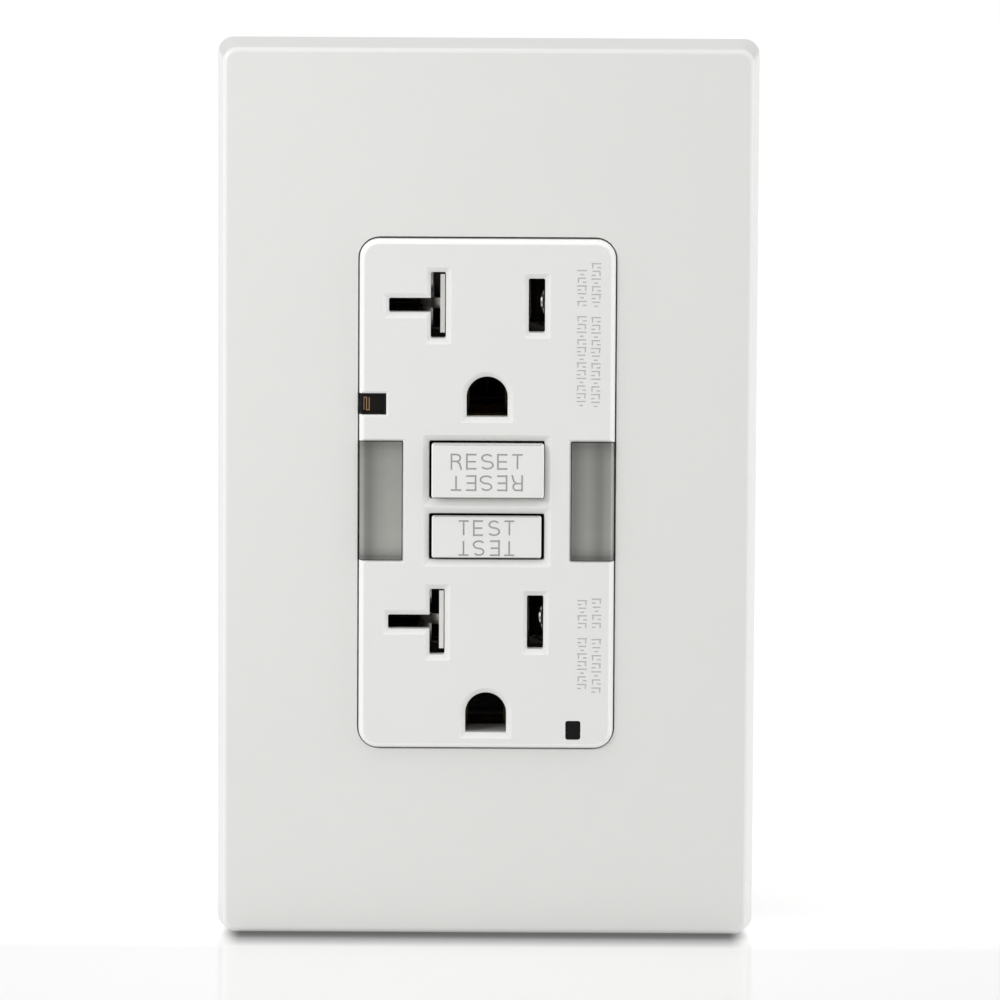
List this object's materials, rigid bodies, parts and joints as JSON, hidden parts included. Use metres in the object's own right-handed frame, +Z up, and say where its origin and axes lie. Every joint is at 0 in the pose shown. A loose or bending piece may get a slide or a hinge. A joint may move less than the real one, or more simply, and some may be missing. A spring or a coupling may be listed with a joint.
{
  "type": "gfci outlet",
  "caption": "Ground-fault duplex outlet with T-slot receptacles, guide light windows, reset and test buttons, and a clip-on screwless wall plate.",
  "frame": {"origin": "centre of the mounting plane: the rear face of the strap's ears, which lies on the wall", "axes": "+X to the right seen from the front, +Y into the wall, +Z up"},
  "size_m": [0.0698, 0.0355, 0.1172],
  "materials": {
    "plate_plastic": "smooth semi-gloss moulded white",
    "sub_plate_plastic": "satin moulded white",
    "face_plastic": "smooth semi-gloss moulded white",
    "button_plastic": "smooth semi-gloss moulded white",
    "lens_plastic": "smoky translucent",
    "dark_lens_plastic": "dark tinted",
    "sensor_ceramic": "dark cell with printed track",
    "housing_plastic": "satin moulded light grey",
    "inner_plastic": "matte black moulded",
    "zinc_steel": "zinc plated",
    "white_screws": "white painted",
    "fibre": "pressed fibre",
    "brass": "stamped and tumbled",
    "nickel_brass": "nickel plated",
    "green_screw": "green dyed zinc",
    "spring_steel": "drawn wire",
    "spring_bronze": "rolled strip",
    "silver": "contact silver",
    "iron": "plated iron",
    "moulded_parts": "natural nylon",
    "copper_wire": "enamelled copper",
    "ferrite": "sintered ferrite",
    "black_plastic": "matte black",
    "board": "green solder mask",
    "light_board": "white solder mask",
    "emitter": "phosphor",
    "varistor_blue": "dipped epoxy",
    "film_yellow": "boxed film",
    "capacitor_sleeve": "shrunk sleeve",
    "resistor_body": "lacquered"
  },
  "bodies": {
    "device": {"sub_plate": "sub_plate_plastic", "sub_plate_screws": "white_screws", "mounting_strap": "zinc_steel", "mounting_screws": "zinc_steel", "screw_retainers": "fibre", "ground_contacts": "brass", "ground_rivets": "brass", "face_cover": "face_plastic", "separator": "inner_plastic", "rear_housing": "housing_plastic", "housing_screws": "zinc_steel", "reset_spring": "spring_steel", "test_leaf": "spring_bronze", "test_contact": "spring_bronze", "solenoid_bobbin": "moulded_parts", "solenoid_coil": "copper_wire", "solenoid_frame": "iron", "plunger_spring": "spring_steel", "circuit_board": "board", "line_leads": "brass", "hot_contact_bus": "nickel_brass", "neutral_contact_bus": "nickel_brass", "fixed_contact_tips": "silver", "transformer_cores": "ferrite", "transformer_windings": "copper_wire", "transformer_housing": "black_plastic", "line_hot_terminal": "brass", "line_neutral_terminal": "nickel_brass", "varistor": "varistor_blue", "film_capacitor": "film_yellow", "electrolytic_capacitor": "capacitor_sleeve", "control_chip": "black_plastic", "thyristor": "black_plastic", "resistors": "resistor_body", "guide_light_lenses": "lens_plastic", "guide_light_boards": "light_board", "light_emitters": "emitter", "photocell": "sensor_ceramic", "indicator_light_pipe": "dark_lens_plastic"},
    "wall_plate": {"wall_plate": "plate_plastic"},
    "reset": {"reset_button": "button_plastic", "reset_pin": "iron"},
    "test": {"test_button": "button_plastic"},
    "latch": {"latch_block": "moulded_parts", "latch_spring": "spring_steel"},
    "latch_plate": {"latch_plate": "iron"},
    "plunger": {"solenoid_plunger": "iron"},
    "hot_arm": {"line_hot_arm": "spring_bronze"},
    "neutral_arm": {"line_neutral_arm": "spring_bronze"},
    "load_hot_screw": {"load_hot_screw": "brass"},
    "load_hot_clamp": {"load_hot_clamp": "nickel_brass"},
    "load_neutral_screw": {"load_neutral_screw": "nickel_brass"},
    "load_neutral_clamp": {"load_neutral_clamp": "nickel_brass"},
    "line_hot_screw": {"line_hot_screw": "brass"},
    "line_hot_clamp": {"line_hot_clamp": "nickel_brass"},
    "line_neutral_screw": {"line_neutral_screw": "nickel_brass"},
    "line_neutral_clamp": {"line_neutral_clamp": "nickel_brass"},
    "ground_screw": {"ground_screw": "green_screw"},
    "ground_clamp": {"ground_clamp": "nickel_brass"}
  },
  "joints": [
    {"name": "wall_plate_pull", "type": "slide", "parent": "device", "child": "wall_plate", "axis": [0, -1, 0], "range_m": [0, 0.025]},
    {"name": "reset_press", "type": "slide", "parent": "device", "child": "reset", "axis": [0, 1, 0], "range_m": [0, 0.002], "stiffness_N_per_m": 900, "springref_m": -0.002, "deforming": ["reset_spring"]},
    {"name": "test_press", "type": "slide", "parent": "device", "child": "test", "axis": [0, 1, 0], "range_m": [0, 0.0012], "stiffness_N_per_m": 700, "springref_m": -0.001, "deforming": ["test_leaf"]},
    {"name": "latch_lift", "type": "slide", "parent": "device", "child": "latch", "axis": [0, -1, 0], "range_m": [0, 0.0015], "stiffness_N_per_m": 500, "springref_m": -0.001},
    {"name": "plunger_stroke", "type": "slide", "parent": "device", "child": "plunger", "axis": [0, 0, -1], "range_m": [0, 0.0012], "stiffness_N_per_m": 500, "springref_m": -0.001, "deforming": ["plunger_spring"]},
    {"name": "latch_release", "type": "slide", "parent": "latch", "child": "latch_plate", "axis": [0, 0, -1], "range_m": [0, 0.0012], "deforming": ["latch_spring"]},
    {"name": "hot_arm_flex", "type": "hinge", "parent": "device", "child": "hot_arm", "pos_m": [0.0126, 0.0115, -0.012], "axis": [1, 0, 0], "range_deg": [0, 6]},
    {"name": "neutral_arm_flex", "type": "hinge", "parent": "device", "child": "neutral_arm", "pos_m": [-0.0126, 0.0115, -0.012], "axis": [1, 0, 0], "range_deg": [0, 6]},
    {"name": "load_hot_screw_turn", "type": "hinge", "parent": "device", "child": "load_hot_screw", "pos_m": [0.0196, 0.01, 0.018], "axis": [-1, 0, 0], "range_deg": [0, 720]},
    {"name": "load_hot_clamp_travel", "type": "slide", "parent": "device", "child": "load_hot_clamp", "axis": [1, 0, 0], "range_m": [0, 0.00159]},
    {"name": "load_neutral_screw_turn", "type": "hinge", "parent": "device", "child": "load_neutral_screw", "pos_m": [-0.0196, 0.01, 0.018], "axis": [1, 0, 0], "range_deg": [0, 720]},
    {"name": "load_neutral_clamp_travel", "type": "slide", "parent": "device", "child": "load_neutral_clamp", "axis": [-1, 0, 0], "range_m": [0, 0.00159]},
    {"name": "line_hot_screw_turn", "type": "hinge", "parent": "device", "child": "line_hot_screw", "pos_m": [0.0196, 0.01, -0.018], "axis": [-1, 0, 0], "range_deg": [0, 720]},
    {"name": "line_hot_clamp_travel", "type": "slide", "parent": "device", "child": "line_hot_clamp", "axis": [1, 0, 0], "range_m": [0, 0.00159]},
    {"name": "line_neutral_screw_turn", "type": "hinge", "parent": "device", "child": "line_neutral_screw", "pos_m": [-0.0196, 0.01, -0.018], "axis": [1, 0, 0], "range_deg": [0, 720]},
    {"name": "line_neutral_clamp_travel", "type": "slide", "parent": "device", "child": "line_neutral_clamp", "axis": [-1, 0, 0], "range_m": [0, 0.00159]},
    {"name": "ground_screw_turn", "type": "hinge", "parent": "device", "child": "ground_screw", "pos_m": [-0.009, 0.012, -0.0366], "axis": [0, 0, 1], "range_deg": [0, 720]},
    {"name": "ground_clamp_travel", "type": "slide", "parent": "device", "child": "ground_clamp", "axis": [0, 0, -1], "range_m": [0, 0.00159]}
  ],
  "couplings": [
    {"joint": "latch_release", "follows": "plunger_stroke", "ratio": 1},
    {"joint": "hot_arm_flex", "follows": "latch_lift", "rad_per_m": 65.789},
    {"joint": "neutral_arm_flex", "follows": "latch_lift", "rad_per_m": 65.789},
    {"joint": "load_hot_screw_turn", "follows": "load_hot_clamp_travel", "rad_per_m": 7915.8},
    {"joint": "load_neutral_screw_turn", "follows": "load_neutral_clamp_travel", "rad_per_m": 7915.8},
    {"joint": "line_hot_screw_turn", "follows": "line_hot_clamp_travel", "rad_per_m": 7915.8},
    {"joint": "line_neutral_screw_turn", "follows": "line_neutral_clamp_travel", "rad_per_m": 7915.8},
    {"joint": "ground_screw_turn", "follows": "ground_clamp_travel", "rad_per_m": 7915.8}
  ]
}
